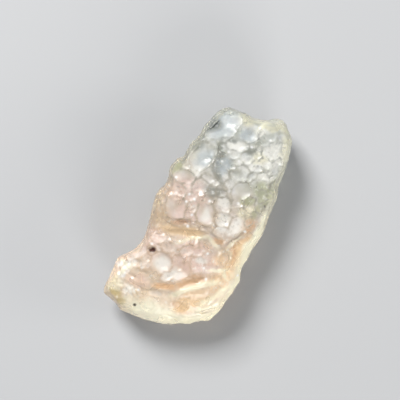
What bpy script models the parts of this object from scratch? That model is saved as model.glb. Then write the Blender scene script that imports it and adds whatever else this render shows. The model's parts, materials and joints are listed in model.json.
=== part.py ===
"""Libyan desert glass: one loose piece of natural glass, its upper face etched into cups.

The piece lies on its smooth underside. +Y is its long axis, towards the narrower head,
+Z is up, out of the etched face, and the origin is under the middle of its bounding box.
"""

import math

import bpy
import numpy as np
from mathutils import Vector, noise

MM = 0.001
NAME = "libyan_desert_glass"

# Driving dimensions, in millimetres.
TOP = 11.2              # height of the etched face before its blocks and cups
WIDEST = 4.7            # height of the widest line round the edge
WIDEST_SWAY = 0.9       # how far that line wanders up and down
LEAST_WALL = 2.0        # least height of the upper edge over the widest line
MIDDLE = (-0.4, -5.5)   # the point inside the outline that its radii start from
TOP_EDGE = 2.0          # how far in from the outline the upper edge rounds over
UNDER_EDGE = 3.4        # the same, for the rounder lower edge
FOOT_CUT = 0.45         # how much of the belly is worn flat, which makes the foot
BELLY = 2.7             # rise of the underside from its middle to its edge
BELLY_MIDDLE = (-0.3, -1.5)
BELLY_REACH = (11.5, 22.5)  # half width and half length over which it rises
BELLY_POWER = 2.2       # more leaves a broader nearly level middle
RIM_SHARE = 0.42        # share of each face's points that go into its rounded edge
SWAY_SIZE = 7.0         # size of the waves in the widest line
EDGE_SWAY = 0.4         # how much the rounding of the edges varies with them
FACET_BLEND = 1.2       # how softly a facet starts
EDGE_BLEND = 0.8        # how softly the upper face meets the least wall
BLOCK_EDGE = 24         # how sharply the blocks end; more is sharper
WAVE = 0.18             # height of the slow waves over the whole surface
WAVE_SIZE = 5.0
STRAY = 0.34            # how far a slow noise moves the cups, so that they lose their evenness
STRAY_SIZE = 2.4
UPPER_FACING = 0.25     # least upward share of the normal where cups are cut
SAME_SIDE = 0.3         # least agreement of two normals for a dent to reach from one to the other
SIDE_BLEND = 0.4        # further agreement over which the dent grows to its full depth
VOXEL = 0.34            # cell of the even mesh that the cups are carved in
TRIANGLES = 8200        # size of the finished mesh

# Plan outline, clockwise from the left lobe of the head.
OUTLINE = [
    (-8.0, 20.9), (-6.3, 21.5), (-4.8, 21.9), (-2.8, 21.6), (-1.0, 22.1), (0.6, 23.2),
    (2.3, 24.2), (3.9, 23.9), (5.0, 22.8), (6.3, 21.8), (7.0, 19.9), (7.9, 16.8),
    (8.7, 13.2), (9.6, 9.8), (10.0, 6.5), (10.6, 2.5), (10.4, -1.5), (10.8, -5.0),
    (11.6, -7.6), (11.7, -10.4), (11.2, -14.4), (10.0, -17.2), (7.6, -19.5), (4.0, -21.7),
    (1.0, -22.9), (-2.5, -23.8), (-6.0, -24.2), (-9.2, -23.6), (-10.8, -22.9),
    (-11.3, -21.8), (-11.5, -18.8), (-11.8, -15.3), (-11.2, -14.2), (-10.3, -13.6),
    (-9.7, -11.6), (-9.4, -9.2), (-10.1, -6.0), (-11.3, -2.5), (-11.6, -0.5),
    (-10.9, 1.6), (-11.1, 3.6), (-11.8, 5.1), (-11.4, 7.2), (-10.6, 8.2), (-10.5, 10.6),
    (-9.9, 13.4), (-10.0, 15.2), (-9.7, 17.2), (-9.0, 19.4),
]

# Facets that fall away from the top: bearing in degrees from +X, distance out, slope.
FACETS = [
    (-62, 15.6, 0.62),  # the long smooth bevel at the toe
    (-3, 6.4, 0.36),    # the smooth side facet
    (4, 9.0, 0.55),     # the bright bevel along the right rim
    (55, 18.5, 0.35),   # the right lobe of the head
    (112, 18.6, 0.40),  # the left lobe of the head
    (180, 8.2, 0.30),   # the left side
    (218, 15.0, 0.45),  # the left corner of the toe
]

# Blocks that stand above the shelf between them: x, y, half width, half length, turn, rise.
BLOCKS = [
    (-2.3, 9.3, 8.9, 12.6, 6, 1.2),
    (-1.2, -11.0, 7.2, 5.4, 22, 0.9),
]

# Broad bowls: x, y, long radius, short radius, turn of the long radius, depth.
BOWLS = [
    (-7.2, 17.3, 3.9, 3.1, 62, 0.85),
    (-7.5, 9.8, 3.0, 2.6, 80, 0.85),
    (-8.3, 4.9, 2.4, 1.3, 10, 0.45),
    (-6.9, -1.2, 2.5, 2.1, -60, 0.65),
    (-1.2, 0.6, 2.4, 1.9, -65, 0.75),
    (2.6, 7.6, 2.1, 1.7, 60, 0.50),
    (-3.8, -12.0, 2.2, 2.1, 0, 0.65),
    (0.2, -11.5, 2.1, 1.7, 50, 0.50),
]

# Smooth hollows with no cups in them: the shelf, the valley, the toe and its streaks.
SMOOTH_HOLLOWS = [
    (-2.4, -4.6, 4.6, 0.9, 27, 0.25),
    (-4.4, -3.3, 1.7, 0.8, 25, 0.38),
    (3.0, -12.3, 3.4, 1.0, 42, 0.50),
    (-1.2, -15.5, 2.6, 0.9, 22, 0.35),
    (-6.3, -16.3, 2.4, 1.4, 12, 0.30),
    (5.8, -14.1, 3.2, 2.1, 38, 0.50),
    (3.4, -17.6, 1.9, 1.3, 30, 0.22),
    (8.8, -15.6, 2.4, 0.5, 48, 0.16),
    (6.8, -18.3, 2.2, 0.4, 42, 0.14),
    (3.0, -20.4, 1.8, 0.4, 25, 0.10),
]

# Cups, from the head to the toe, with the same six values.
CUPS = [
    (-8.6, 16.5, 1.3, 1.0, 80, 0.30), (-7.4, 20.3, 0.8, 0.6, 20, 0.25),
    (-1.9, 18.0, 1.9, 1.6, 60, 0.60), (-2.4, 15.2, 1.9, 1.2, 30, 0.45),
    (-2.7, 13.0, 1.5, 0.9, 25, 0.30), (2.3, 19.9, 1.2, 0.9, 60, 0.22),
    (4.4, 20.6, 1.0, 0.7, 10, 0.25), (4.5, 19.0, 0.9, 0.4, 5, 0.25),
    (4.0, 17.4, 1.7, 1.4, 40, 0.40), (1.6, 18.0, 1.0, 0.7, 0, 0.30),
    (0.2, 16.5, 0.8, 0.7, 0, 0.25), (1.9, 15.6, 1.0, 0.8, 50, 0.25),
    (3.8, 14.8, 1.0, 0.9, 0, 0.30), (0.3, 13.9, 1.1, 0.9, 30, 0.30),
    (2.4, 13.2, 1.2, 0.9, 40, 0.30), (6.2, 14.4, 1.0, 0.8, 90, 0.30),
    (7.2, 12.4, 1.2, 1.1, 0, 0.45), (4.6, 12.2, 0.9, 0.8, 30, 0.30),
    (-6.3, 12.5, 1.2, 1.0, -60, 0.35), (-9.6, 12.8, 0.9, 0.6, 60, 0.25),
    (-4.4, 13.2, 0.9, 0.6, -60, 0.25), (-2.3, 11.0, 1.5, 1.0, 10, 0.40),
    (0.7, 10.6, 1.6, 1.5, 30, 0.60), (2.9, 11.0, 0.9, 0.6, 80, 0.30),
    (5.5, 10.9, 1.2, 0.8, -20, 0.33), (-2.4, 9.1, 1.8, 1.2, -35, 0.50),
    (0.0, 7.9, 0.9, 0.8, 0, 0.30), (4.8, 8.8, 0.8, 0.8, 0, 0.30),
    (6.5, 8.9, 1.2, 0.9, -60, 0.35), (5.6, 6.4, 1.3, 0.8, -60, 0.30),
    (7.2, 6.9, 0.8, 0.7, 0, 0.25), (3.2, 5.5, 1.0, 0.8, 20, 0.30),
    (-4.6, 4.4, 1.6, 1.2, 90, 0.50), (-7.4, 3.9, 1.0, 0.8, 0, 0.25),
    (-4.3, 6.6, 0.8, 0.7, 0, 0.30), (-0.7, 5.5, 0.9, 0.6, 20, 0.30),
    (-2.0, 3.1, 0.8, 0.6, 20, 0.28), (-10.5, 5.8, 0.9, 0.8, 0, 0.30),
    (-8.3, 1.6, 1.5, 1.3, -60, 0.45), (-5.4, 1.8, 1.0, 0.7, 60, 0.25),
    (-10.8, 0.0, 0.8, 0.6, 60, 0.25), (-9.6, -0.9, 0.7, 0.6, 0, 0.25),
    (-9.8, -2.6, 0.8, 0.6, -60, 0.25), (0.9, 3.7, 1.6, 1.3, -30, 0.55),
    (2.2, 1.4, 1.4, 1.3, 0, 0.55), (3.9, 3.4, 1.0, 0.8, 20, 0.30),
    (5.1, 1.7, 1.9, 1.2, 80, 0.45), (3.0, -0.9, 1.2, 0.9, 20, 0.38),
    (4.8, -0.9, 0.9, 0.7, 70, 0.30),
    (2.3, -4.1, 1.5, 1.4, 0, 0.45), (4.2, -4.4, 1.1, 1.0, 0, 0.35),
    (6.9, -5.7, 1.4, 1.1, -60, 0.35), (8.4, -7.6, 1.2, 1.0, -50, 0.35),
    (10.5, -7.3, 0.8, 0.6, 0, 0.25), (4.4, -6.4, 1.2, 1.1, 80, 0.40),
    (1.4, -6.6, 1.0, 0.7, 60, 0.30), (-0.6, -7.2, 1.3, 0.9, 50, 0.38),
    (2.4, -8.7, 1.4, 1.2, -60, 0.45), (4.5, -8.5, 1.4, 0.7, 20, 0.30),
    (4.3, -10.2, 1.0, 0.8, 20, 0.32), (6.5, -9.3, 1.2, 0.8, 35, 0.30),
    (8.4, -11.3, 1.5, 1.3, 90, 0.40), (-1.0, -10.2, 1.2, 1.0, -40, 0.40),
    (-4.0, -8.6, 1.3, 0.8, 25, 0.30), (-6.8, -8.0, 1.3, 0.8, 25, 0.30),
    (-6.7, -10.6, 0.7, 0.6, 0, 0.70), (-8.6, -11.8, 1.4, 1.0, 55, 0.35),
    (-7.9, -14.3, 0.9, 0.7, 30, 0.30), (-1.6, -13.6, 1.2, 0.7, 40, 0.25),
    (-4.4, -16.6, 1.1, 0.9, 0, 0.12), (-8.9, -19.2, 1.3, 0.8, 70, 0.16),
    (-10.8, -15.0, 0.8, 0.6, 0, 0.35), (-9.3, -15.6, 0.8, 0.6, 60, 0.35),
    (-10.2, -17.4, 0.7, 0.6, -80, 0.35), (-7.2, -19.2, 0.9, 0.6, 20, 0.10),
    (-5.0, -18.6, 0.9, 0.5, 10, 0.10), (-1.9, -17.8, 1.1, 0.6, 20, 0.08),
    (-6.4, -20.9, 0.9, 0.6, 40, 0.10), (-8.8, -21.5, 0.9, 0.8, 0, 0.18),
]

CUP_SPREAD = 1.22       # how much wider than listed each cup is, so that neighbours meet
CUP_DEPTH = 1.15        # how much deeper than listed
RIM_SHARPNESS = 0.95    # below 1 a cup has a flatter middle and a steeper wall
SQUARENESS = 2.1        # above 2 an oval is a little squarer

# Ridges and grooves: rise, half width, points along the line.
CREASES = [
    (0.30, 0.45, [(0.9, -16.7), (2.8, -14.1), (4.3, -12.7), (6.1, -10.8), (8.0, -9.6)]),
    (0.22, 0.40, [(6.6, -15.8), (8.3, -12.9), (9.8, -9.2)]),
    (-0.45, 0.20, [(7.2, 1.9), (6.6, 0.4), (6.0, -1.2), (5.3, -3.0)]),
    (0.14, 0.40, [(7.0, 1.4), (6.6, 0.2), (6.3, -1.4), (5.8, -3.4)]),
    (0.13, 0.40, [(-3.7, -7.5), (-1.0, -4.7), (1.5, -3.2), (4.1, -3.8), (4.9, -4.3)]),
    (-0.14, 0.30, [(-6.5, -3.8), (-1.2, -2.0), (1.5, -2.2), (3.7, -3.0)]),
    (-0.25, 0.28, [(-6.1, 13.5), (-5.1, 12.1), (-4.4, 10.3), (-3.3, 8.4), (-0.9, 7.2), (1.0, 6.5)]),
    (0.20, 0.30, [(4.4, -8.9), (7.0, -7.4), (8.5, -6.5)]),
    (0.22, 0.40, [(0.3, 22.0), (-0.5, 19.5)]),
    (0.18, 0.40, [(6.3, -17.2), (8.8, -14.8), (11.0, -12.5)]),
    (0.30, 0.35, [(-8.6, -14.8), (-9.4, -16.2), (-10.0, -18.4)]),
]
CREASE_TAPER = 1.2      # length over which a ridge fades at its ends
CREASE_END = 0.25       # share of its rise left at the very end

SCALLOPS = 90           # broad shallow dents over the sides and the underside
SCALLOP_RADII = (1.1, 3.2)
SCALLOP_DEPTH = 0.2     # share of the radius
SCALLOP_NARROWEST = 0.65    # least short radius, as a share of the long one
SCALLOP_SPACING = (0.9, 0.4)    # least distance between two: share of the radius, and more
FOOT_CLEARING = (7.0, 12.0, 1.5)    # half width, half length and height kept free of them
SEED = 29


def clear_scene():
    for obj in list(bpy.data.objects):
        bpy.data.objects.remove(obj, do_unlink=True)


def collection(name, parent=None):
    made = bpy.data.collections.new(name)
    (parent or bpy.context.scene.collection).children.link(made)
    return made


def outline_samples():
    """Bearings and distances from MIDDLE of points on a smooth closed curve through OUTLINE."""
    knots = np.array(OUTLINE) - MIDDLE
    before, after, beyond = np.roll(knots, 1, 0), np.roll(knots, -1, 0), np.roll(knots, -2, 0)
    curve = []
    for t in np.arange(0, 1, 0.1):
        bend = 2 * before - 5 * knots + 4 * after - beyond
        twist = 3 * knots - before - 3 * after + beyond
        curve.append(knots + 0.5 * t * (after - before + t * (bend + t * twist)))
    curve = np.concatenate(curve)
    bearing = np.arctan2(curve[:, 1], curve[:, 0])
    order = np.argsort(bearing)
    return bearing[order], np.hypot(*curve[order].T)


def outline_radius(angle):
    """Distance from MIDDLE to the outline in each direction, its sharpest corners eased."""
    bearings, reach = outline_samples()
    even = np.radians(np.arange(-180, 180, 0.5))
    reach = np.interp(even, bearings, reach, period=2 * math.pi)
    for _ in range(3):
        reach = (np.roll(reach, 1) + 2 * reach + np.roll(reach, -1)) / 4
    return np.interp(angle, even, reach, period=2 * math.pi)


def softly_above(value, softness):
    """max(value, 0) with a rounded corner."""
    return 0.5 * (value + np.sqrt(value * value + softness * softness))


def in_ellipse(x, y, shape):
    """Distances from a turned ellipse's middle, as shares of its two radii."""
    cx, cy, long_r, short_r, turn = shape[:5]
    c, s = math.cos(math.radians(turn)), math.sin(math.radians(turn))
    dx, dy = x - cx, y - cy
    return (dx * c + dy * s) / long_r, (dy * c - dx * s) / short_r


def top_height(x, y):
    height = np.full_like(x, TOP)
    for bearing, distance, slope in FACETS:
        a = math.radians(bearing)
        height -= slope * softly_above(x * math.cos(a) + y * math.sin(a) - distance, FACET_BLEND)
    for block in BLOCKS:
        u, v = in_ellipse(x, y, block)
        edge = (u ** 4 + v ** 4) ** 0.25
        height += block[5] / (1 + np.exp((edge - 1) * BLOCK_EDGE))
    return height


def sway(x, y, size):
    """A slow wave over the plan, between about -1 and 1."""
    return np.array([noise.noise(Vector((a / size, b / size, 3.7))) for a, b in zip(x, y)])


def under_height(x, y):
    share = np.hypot((x - BELLY_MIDDLE[0]) / BELLY_REACH[0], (y - BELLY_MIDDLE[1]) / BELLY_REACH[1])
    return BELLY * share ** BELLY_POWER - FOOT_CUT


def body_points(directions):
    """The uncarved body: unit directions moved to the outline, the edges and both faces."""
    angle = np.arctan2(directions[:, 1], directions[:, 0])
    rise = np.arcsin(np.clip(directions[:, 2], -1, 1)) / (math.pi / 2)
    above = rise > 0
    rim = outline_radius(angle)
    wander = sway(rim * np.cos(angle), rim * np.sin(angle), SWAY_SIZE)
    widest = WIDEST + WIDEST_SWAY * wander
    rounding = np.where(above, TOP_EDGE, UNDER_EDGE) * (1 - EDGE_SWAY * wander)
    bend = np.clip(np.abs(rise) / RIM_SHARE, 0, 1) * math.pi / 2
    inward = np.clip((np.abs(rise) - RIM_SHARE) / (1 - RIM_SHARE), 0, 1)
    radius = (rim - rounding * (1 - np.cos(bend))) * (1 - inward)
    x = MIDDLE[0] + radius * np.cos(angle)
    y = MIDDLE[1] + radius * np.sin(angle)
    top = widest + LEAST_WALL + softly_above(top_height(x, y) - widest - LEAST_WALL, EDGE_BLEND)
    face = np.where(above, top, under_height(x, y))
    return np.column_stack([x, y, widest + (face - widest) * np.sin(bend)])


def coordinates(mesh):
    values = np.empty(len(mesh.vertices) * 3)
    mesh.vertices.foreach_get("co", values)
    return values.reshape(-1, 3)


def set_coordinates(mesh, points):
    mesh.vertices.foreach_set("co", points.astype(np.float32).ravel())
    mesh.update()


def normals_of(mesh):
    values = np.empty(len(mesh.vertices) * 3)
    mesh.vertices.foreach_get("normal", values)
    return values.reshape(-1, 3)


def evaluated_mesh(obj):
    graph = bpy.context.evaluated_depsgraph_get()
    return bpy.data.meshes.new_from_object(obj.evaluated_get(graph), depsgraph=graph)


def even_body():
    """The uncarved body as an even mesh, in metres."""
    bpy.ops.mesh.primitive_ico_sphere_add(subdivisions=7, radius=1)
    ball = bpy.context.object
    points = coordinates(ball.data)
    points /= np.linalg.norm(points, axis=1, keepdims=True)
    set_coordinates(ball.data, body_points(points) * MM)
    remesh = ball.modifiers.new("even mesh", "REMESH")
    remesh.mode = "VOXEL"
    remesh.voxel_size = VOXEL * MM
    mesh = evaluated_mesh(ball)
    bpy.data.objects.remove(ball, do_unlink=True)
    return mesh


def on_top(points, normals, shapes):
    """Each shape with the place and the normal of the upper face at its middle."""
    upper = np.flatnonzero(normals[:, 2] > UPPER_FACING)
    placed = []
    for x, y, *rest in shapes:
        away = np.hypot(points[upper, 0] - x, points[upper, 1] - y)
        nearest = upper[np.argmin(away)]
        placed.append((points[nearest], normals[nearest], *rest))
    return placed


def dents(points, normals, placed):
    """How deep the dents reach at each point. The deepest wins, which leaves sharp ridges."""
    depth = np.zeros(len(points))
    for middle, normal, long_r, short_r, turn, deep in placed:
        across = np.cross((0.01, 1, 0.02), normal)
        across /= np.linalg.norm(across)
        along = np.cross(normal, across)
        c, s = math.cos(math.radians(turn)), math.sin(math.radians(turn))
        offset = points - middle
        u = offset @ (across * c + along * s)
        v = offset @ (along * c - across * s)
        share = 1 - np.abs(u / long_r) ** SQUARENESS - np.abs(v / short_r) ** SQUARENESS
        facing = np.clip((normals @ normal - SAME_SIDE) / SIDE_BLEND, 0, 1)
        near = (share > 0) & (facing > 0)
        depth[near] = np.maximum(depth[near], deep * facing[near] * share[near] ** RIM_SHARPNESS)
    return depth


def crease_height(points, normals):
    """Rise of the ridges and fall of the grooves along the drawn lines."""
    height = np.zeros(len(points))
    flat = points[:, :2]
    for rise, half_width, line in CREASES:
        line = np.array(line)
        nearest = np.full(len(points), np.inf)
        for start, end in zip(line[:-1], line[1:]):
            run = end - start
            along = np.clip((flat - start) @ run / (run @ run), 0, 1)
            nearest = np.minimum(nearest, np.linalg.norm(flat - start - along[:, None] * run, axis=1))
        ends = np.minimum(*(np.linalg.norm(flat - tip, axis=1) for tip in (line[0], line[-1])))
        taper = np.clip(ends / CREASE_TAPER, CREASE_END, 1)
        height += rise * taper * np.exp(-(nearest / half_width) ** 2)
    return height * (normals[:, 2] > UPPER_FACING)


def scallops(points, normals):
    """Broad shallow dents spread over the sides and the underside, clear of the foot."""
    rng = np.random.default_rng(SEED)
    half_width, half_length, height = FOOT_CLEARING
    clear = np.hypot(points[:, 0] / half_width, (points[:, 1] - BELLY_MIDDLE[1]) / half_length) > 1
    low = np.flatnonzero((normals[:, 2] < UPPER_FACING) & (clear | (points[:, 2] > height)))
    placed = []
    for pick in rng.permutation(low):
        radius = rng.uniform(*SCALLOP_RADII)
        room = SCALLOP_SPACING[0] * radius + SCALLOP_SPACING[1]
        if any(np.linalg.norm(points[pick] - other[0]) < room for other in placed):
            continue
        shape = (radius, radius * rng.uniform(SCALLOP_NARROWEST, 1), rng.uniform(-90, 90))
        placed.append((points[pick], normals[pick], *shape, radius * SCALLOP_DEPTH))
        if len(placed) == SCALLOPS:
            break
    return placed


def waves(points, size):
    """Slow rises and falls, between -1 and 1, over the whole surface."""
    return np.array([noise.noise(Vector(p / size)) for p in points])


def strayed(points):
    """The points moved about by a slow noise, so that an oval read from them loses its evenness."""
    push = [waves(points + shift, STRAY_SIZE) for shift in (20, 50, 80)]
    return points + STRAY * np.column_stack(push)


def carve(mesh):
    points, normals = coordinates(mesh) / MM, normals_of(mesh)
    loose = strayed(points)
    wide_cups = [(x, y, CUP_SPREAD * a, CUP_SPREAD * b, turn, CUP_DEPTH * d) for x, y, a, b, turn, d in CUPS]
    depth = dents(loose, normals, on_top(points, normals, BOWLS + SMOOTH_HOLLOWS))
    depth += dents(loose, normals, on_top(points, normals, wide_cups))
    depth += dents(points, normals, scallops(points, normals))
    depth -= crease_height(points, normals) + WAVE * waves(points, WAVE_SIZE)
    set_coordinates(mesh, (points - normals * depth[:, None]) * MM)


def glass_material():
    material = bpy.data.materials.new("desert glass")
    material.use_nodes = True
    shader = material.node_tree.nodes["Principled BSDF"]
    shader.inputs["Base Color"].default_value = (0.86, 0.79, 0.62, 1)
    shader.inputs["Roughness"].default_value = 0.35
    shader.inputs["Metallic"].default_value = 0
    shader.inputs["IOR"].default_value = 1.46
    shader.inputs["Transmission Weight"].default_value = 0.9
    return material


def foot_cutter(home):
    """A block whose top is the surface that the piece lies on."""
    bpy.ops.mesh.primitive_cube_add(size=80 * MM, location=(0, 0, -40 * MM))
    cutter = bpy.context.object
    cutter.name = "foot_cutter"
    cutter.hide_render = True
    cutter.display_type = "WIRE"
    cutter.users_collection[0].objects.unlink(cutter)
    home.objects.link(cutter)
    return cutter


def centre(obj):
    """Moves the piece so that its bounding box is centred over the origin."""
    bpy.context.view_layer.update()
    mesh = obj.evaluated_get(bpy.context.evaluated_depsgraph_get()).data
    points = coordinates(mesh)
    middle = (points.min(axis=0) + points.max(axis=0)) / 2
    obj.location = (-middle[0], -middle[1], 0)


def main():
    clear_scene()
    pieces = collection(NAME)
    cutters = collection("cutters")
    mesh = even_body()
    carve(mesh)
    mesh.name = NAME
    mesh.materials.append(glass_material())
    glass = bpy.data.objects.new(NAME, mesh)
    pieces.objects.link(glass)
    fewer = glass.modifiers.new("facets", "DECIMATE")
    fewer.ratio = TRIANGLES / sum(len(face.vertices) - 2 for face in mesh.polygons)
    foot = glass.modifiers.new("worn foot", "BOOLEAN")
    foot.operation = "DIFFERENCE"
    foot.solver = "EXACT"
    foot.object = foot_cutter(cutters)
    centre(glass)


main()
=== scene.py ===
# %% [markdown]
# # A loose piece of desert glass
#
# The piece is natural glass that lay in a desert for millions of years. Wind and damp have eaten
# rounded cups into the face that lay upwards, and polished what stands between them. The cups
# are frosted, the ridges and the broken edges are clearer, and the whole is pale straw yellow.
#
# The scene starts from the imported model, which gives the true size and place. One fine mesh of
# the same form then stands for it, because the small cups and their rims are what the eye reads.
# It is made in five steps: an outline, two faces, an even skin, cups carved into it, and glass.

# %% Load the fixed frame
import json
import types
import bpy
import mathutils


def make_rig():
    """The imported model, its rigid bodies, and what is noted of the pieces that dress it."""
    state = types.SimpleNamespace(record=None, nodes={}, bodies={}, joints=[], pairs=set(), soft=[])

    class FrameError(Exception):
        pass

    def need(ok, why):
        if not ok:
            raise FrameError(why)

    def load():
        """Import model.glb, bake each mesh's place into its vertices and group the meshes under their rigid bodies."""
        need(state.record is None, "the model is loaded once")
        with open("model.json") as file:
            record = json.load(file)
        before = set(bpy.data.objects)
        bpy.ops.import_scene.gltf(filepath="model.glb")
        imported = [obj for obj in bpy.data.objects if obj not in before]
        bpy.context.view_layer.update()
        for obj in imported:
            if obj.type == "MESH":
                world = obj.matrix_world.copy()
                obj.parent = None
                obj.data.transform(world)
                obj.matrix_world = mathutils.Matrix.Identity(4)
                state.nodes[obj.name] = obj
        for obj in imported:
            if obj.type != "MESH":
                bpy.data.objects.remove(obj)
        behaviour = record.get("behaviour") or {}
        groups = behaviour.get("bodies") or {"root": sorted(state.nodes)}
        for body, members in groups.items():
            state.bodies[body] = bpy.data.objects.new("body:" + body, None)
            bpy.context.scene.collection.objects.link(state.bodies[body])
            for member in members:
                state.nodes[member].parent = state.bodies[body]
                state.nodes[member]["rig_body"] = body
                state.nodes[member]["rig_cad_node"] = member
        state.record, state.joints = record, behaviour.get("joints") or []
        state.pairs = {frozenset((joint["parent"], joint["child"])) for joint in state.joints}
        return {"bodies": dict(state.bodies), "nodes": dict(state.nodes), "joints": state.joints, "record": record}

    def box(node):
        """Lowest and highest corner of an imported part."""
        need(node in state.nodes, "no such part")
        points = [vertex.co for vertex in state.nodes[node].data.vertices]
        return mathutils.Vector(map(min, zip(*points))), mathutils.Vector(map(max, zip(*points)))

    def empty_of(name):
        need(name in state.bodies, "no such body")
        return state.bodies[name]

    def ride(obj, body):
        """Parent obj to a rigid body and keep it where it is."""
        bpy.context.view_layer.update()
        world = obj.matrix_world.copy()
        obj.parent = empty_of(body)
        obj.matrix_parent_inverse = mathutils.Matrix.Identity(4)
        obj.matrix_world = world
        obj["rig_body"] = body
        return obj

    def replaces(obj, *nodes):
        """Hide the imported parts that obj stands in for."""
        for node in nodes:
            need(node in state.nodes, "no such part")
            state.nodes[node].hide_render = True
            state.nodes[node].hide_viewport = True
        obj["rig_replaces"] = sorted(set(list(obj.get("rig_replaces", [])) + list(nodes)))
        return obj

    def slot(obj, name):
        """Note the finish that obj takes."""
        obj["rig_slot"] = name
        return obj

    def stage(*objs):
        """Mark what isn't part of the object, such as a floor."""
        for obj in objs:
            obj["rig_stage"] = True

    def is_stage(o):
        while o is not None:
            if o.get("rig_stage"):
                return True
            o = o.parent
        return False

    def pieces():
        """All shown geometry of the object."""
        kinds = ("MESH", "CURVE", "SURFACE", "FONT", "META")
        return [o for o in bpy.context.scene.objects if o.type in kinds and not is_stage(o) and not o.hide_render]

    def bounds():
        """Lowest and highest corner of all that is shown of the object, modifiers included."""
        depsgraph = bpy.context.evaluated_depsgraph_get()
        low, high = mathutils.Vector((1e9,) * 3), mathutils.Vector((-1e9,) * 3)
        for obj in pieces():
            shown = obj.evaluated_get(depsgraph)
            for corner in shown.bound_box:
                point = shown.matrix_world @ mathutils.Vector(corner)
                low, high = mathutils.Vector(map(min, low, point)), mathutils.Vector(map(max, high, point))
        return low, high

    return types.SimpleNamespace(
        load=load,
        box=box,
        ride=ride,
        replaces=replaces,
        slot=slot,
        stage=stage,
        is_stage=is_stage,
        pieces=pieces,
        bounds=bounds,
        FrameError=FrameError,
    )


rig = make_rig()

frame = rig.load()
CAD_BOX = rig.bounds()

import json
import math

import bpy
import numpy as np
from mathutils import Matrix, Vector, noise

NODE = "libyan_desert_glass"
MM = 0.001
low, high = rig.box(NODE)
print("the solid measures", [round(size / MM, 1) for size in high - low], "mm")

# %% [markdown]
# ## The plan outline
#
# Seen from above, the stone is a long tapered slab with a two-lobed head, a bulge on its left and
# a hooked toe. A stone like this could be sculpted from a ball by hand. Here the outline is a
# smooth closed curve through a few dozen points, so that each bump stays easy to find and move.

# %% The outline, in millimetres
MIDDLE = (-0.4, -5.5)
OUTLINE = [
    (-8.0, 20.9), (-6.3, 21.5), (-4.8, 21.9), (-2.8, 21.6), (-1.0, 22.1), (0.6, 23.2),
    (2.3, 24.2), (3.9, 23.9), (5.0, 22.8), (6.3, 21.8), (7.0, 19.9), (7.9, 16.8),
    (8.7, 13.2), (9.6, 9.8), (10.0, 6.5), (10.6, 2.5), (10.4, -1.5), (10.8, -5.0),
    (11.6, -7.6), (11.7, -10.4), (11.2, -14.4), (10.0, -17.2), (7.6, -19.5), (4.0, -21.7),
    (1.0, -22.9), (-2.5, -23.8), (-6.0, -24.2), (-9.2, -23.6), (-10.8, -22.9),
    (-11.3, -21.8), (-11.5, -18.8), (-11.8, -15.3), (-11.2, -14.2), (-10.3, -13.6),
    (-9.7, -11.6), (-9.4, -9.2), (-10.1, -6.0), (-11.3, -2.5), (-11.6, -0.5),
    (-10.9, 1.6), (-11.1, 3.6), (-11.8, 5.1), (-11.4, 7.2), (-10.6, 8.2), (-10.5, 10.6),
    (-9.9, 13.4), (-10.0, 15.2), (-9.7, 17.2), (-9.0, 19.4),
]
CURVE_STEP = 0.1
BEARING_STEP = 0.5
EASING_PASSES = 3


def outline_samples():
    """Bearings and distances from MIDDLE of points on a smooth closed curve through OUTLINE."""
    knots = np.array(OUTLINE) - MIDDLE
    before, after, beyond = np.roll(knots, 1, 0), np.roll(knots, -1, 0), np.roll(knots, -2, 0)
    curve = []
    for t in np.arange(0, 1, CURVE_STEP):
        bend = 2 * before - 5 * knots + 4 * after - beyond
        twist = 3 * knots - before - 3 * after + beyond
        curve.append(knots + 0.5 * t * (after - before + t * (bend + t * twist)))
    curve = np.concatenate(curve)
    bearing = np.arctan2(curve[:, 1], curve[:, 0])
    order = np.argsort(bearing)
    return bearing[order], np.hypot(*curve[order].T)


def outline_radius(angle):
    """Distance from MIDDLE to the outline in each direction, its sharpest corners eased."""
    bearings, reach = outline_samples()
    even = np.radians(np.arange(-180, 180, BEARING_STEP))
    reach = np.interp(even, bearings, reach, period=2 * math.pi)
    for _ in range(EASING_PASSES):
        reach = (np.roll(reach, 1) + 2 * reach + np.roll(reach, -1)) / 4
    return np.interp(angle, even, reach, period=2 * math.pi)


print("the outline has", len(OUTLINE), "points")

# %% [markdown]
# ## The two faces
#
# The upper face is nearly level, and falls away in facets: a long bevel at the toe, a side facet,
# and a narrow bevel along the right rim. Two blocks stand a millimetre above the shelf between
# them. The underside is a shallow belly with a small worn flat that the stone rests on.

# %% The upper face, in millimetres
TOP = 11.2
BLOCK_EDGE = 24
FACET_SOFTNESS = 1.2
FACETS = [  # bearing in degrees from +X, distance out, slope
    (-62, 15.6, 0.62),
    (-3, 6.4, 0.36),
    (4, 9.0, 0.55),
    (55, 18.5, 0.35),
    (112, 18.6, 0.40),
    (180, 8.2, 0.30),
    (218, 15.0, 0.45),
]
BLOCKS = [  # x, y, half width, half length, turn, rise
    (-2.3, 9.3, 8.9, 12.6, 6, 1.2),
    (-1.2, -11.0, 7.2, 5.4, 22, 0.9),
]


def softly_above(value, softness):
    """max(value, 0) with a rounded corner."""
    return 0.5 * (value + np.sqrt(value * value + softness * softness))


def in_ellipse(x, y, shape):
    """Distances from a turned ellipse's middle, as shares of its two radii."""
    cx, cy, long_r, short_r, turn = shape[:5]
    c, s = math.cos(math.radians(turn)), math.sin(math.radians(turn))
    dx, dy = x - cx, y - cy
    return (dx * c + dy * s) / long_r, (dy * c - dx * s) / short_r


def top_height(x, y):
    height = np.full_like(x, TOP)
    for bearing, distance, slope in FACETS:
        a = math.radians(bearing)
        past = x * math.cos(a) + y * math.sin(a) - distance
        height -= slope * softly_above(past, FACET_SOFTNESS)
    for block in BLOCKS:
        u, v = in_ellipse(x, y, block)
        edge = (u ** 4 + v ** 4) ** 0.25  # a squarish oval
        height += block[5] / (1 + np.exp((edge - 1) * BLOCK_EDGE))
    return height


print(len(FACETS), "facets and", len(BLOCKS), "blocks on the upper face")

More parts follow.
